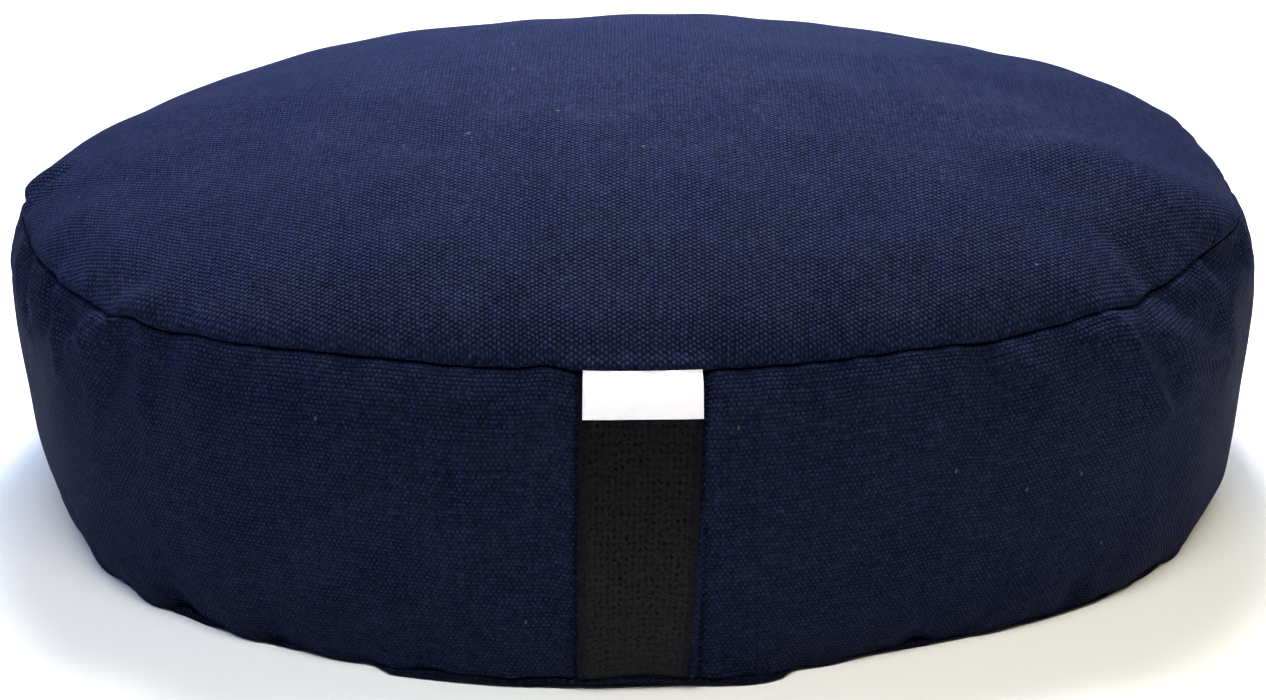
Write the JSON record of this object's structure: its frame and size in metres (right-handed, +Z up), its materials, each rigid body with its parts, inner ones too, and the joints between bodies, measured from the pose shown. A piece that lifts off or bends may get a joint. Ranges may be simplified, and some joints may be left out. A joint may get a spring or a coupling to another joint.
{
  "type": "zafu meditation cushion",
  "caption": "Oval meditation cushion with a crowned top, bulging side band and flat base, a flat webbing handle sewn down the front and a blank folded label.",
  "frame": {"origin": "on the floor, under the middle of the part's box", "axes": "+X along the cushion's width, -Y out of its front where the handle is, +Z up through the crown"},
  "size_m": [0.4658, 0.3416, 0.163],
  "materials": {
    "canvas": "matt navy cotton duck in a plain weave",
    "webbing": "matt near-black cotton webbing in a herringbone weave",
    "satin": "soft white woven satin ribbon, blank"
  },
  "bodies": {
    "root": {"cushion": "canvas", "handle_strap": "webbing", "label": "satin"}
  },
  "joints": []
}
